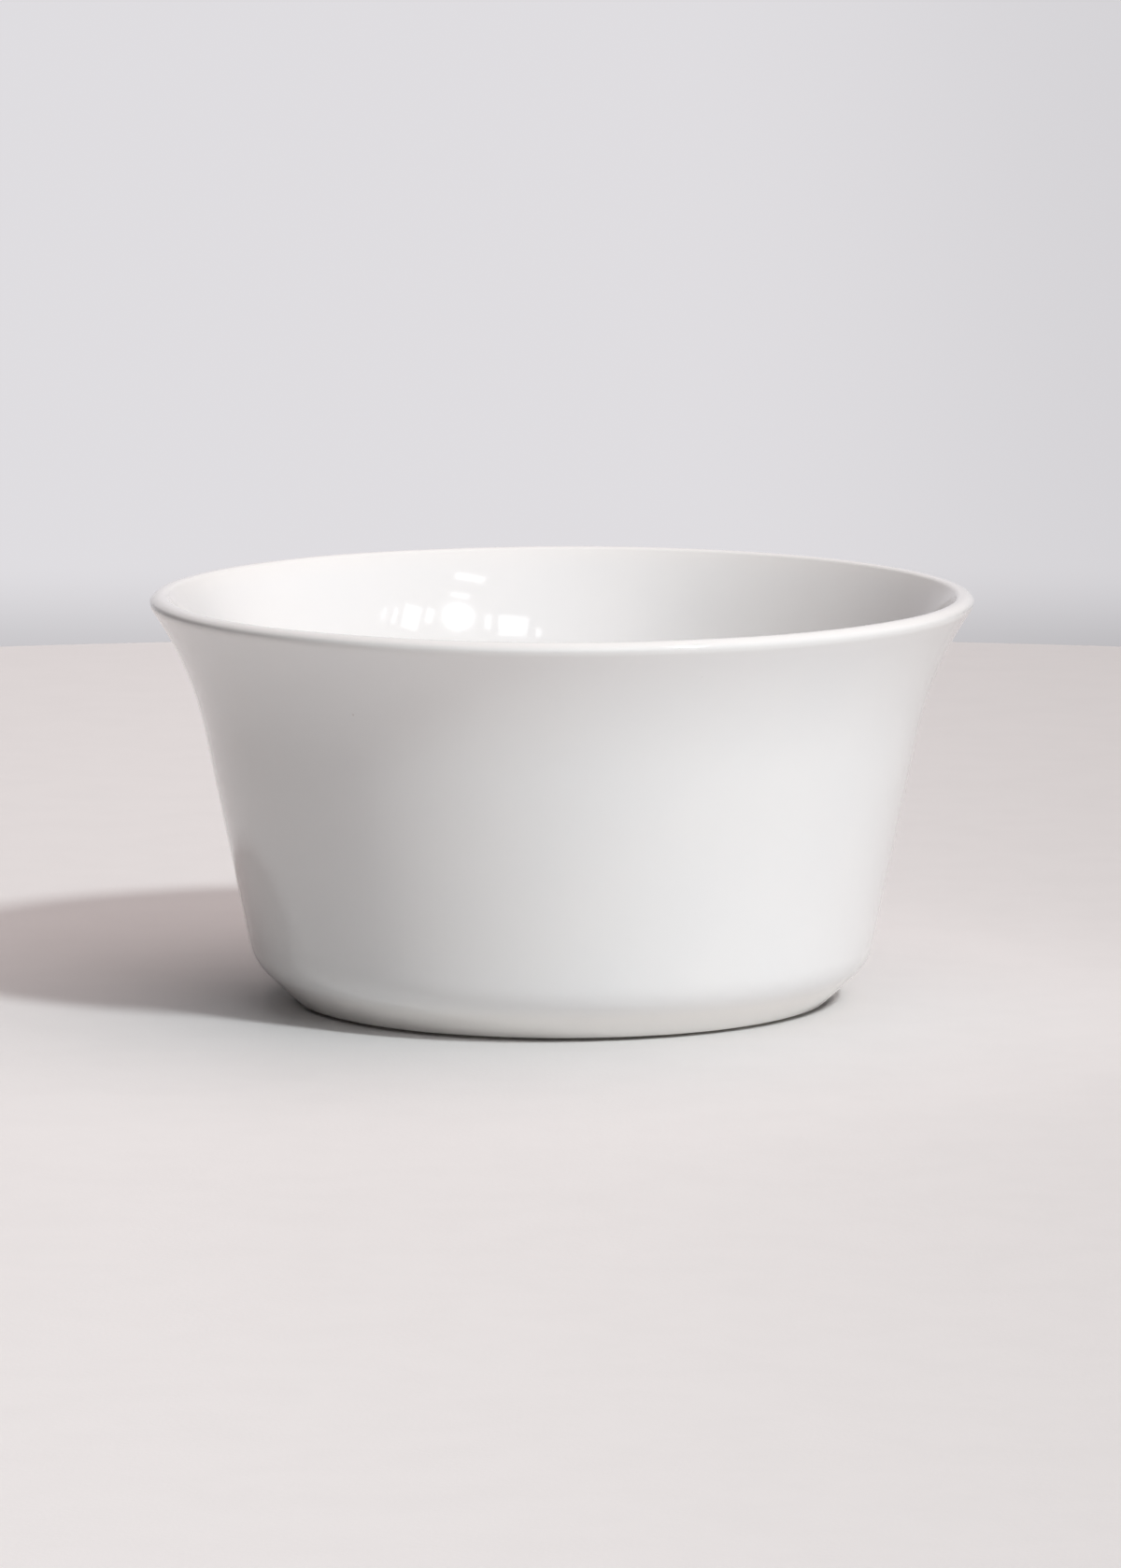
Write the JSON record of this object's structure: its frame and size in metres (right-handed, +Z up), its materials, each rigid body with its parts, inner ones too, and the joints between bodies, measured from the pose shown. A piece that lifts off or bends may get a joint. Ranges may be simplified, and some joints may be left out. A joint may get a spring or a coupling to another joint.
{
  "type": "sauce dish",
  "caption": "Small round porcelain sauce dish with a flared rim, tapered wall, chamfered heel and bare foot ring, glazed glossy white inside and out.",
  "frame": {"origin": "on the table, under the middle of the foot ring", "axes": "+Z up along the axis that the dish is turned about; the dish is the same all round, so X and Y are free"},
  "size_m": [0.09, 0.09, 0.0447],
  "materials": {
    "bare_porcelain": "matte, fired bare",
    "white_glaze": "glossy"
  },
  "bodies": {
    "root": {"porcelain_body": "bare_porcelain", "glaze_coat": "white_glaze", "underside_glaze": "white_glaze"}
  },
  "joints": []
}
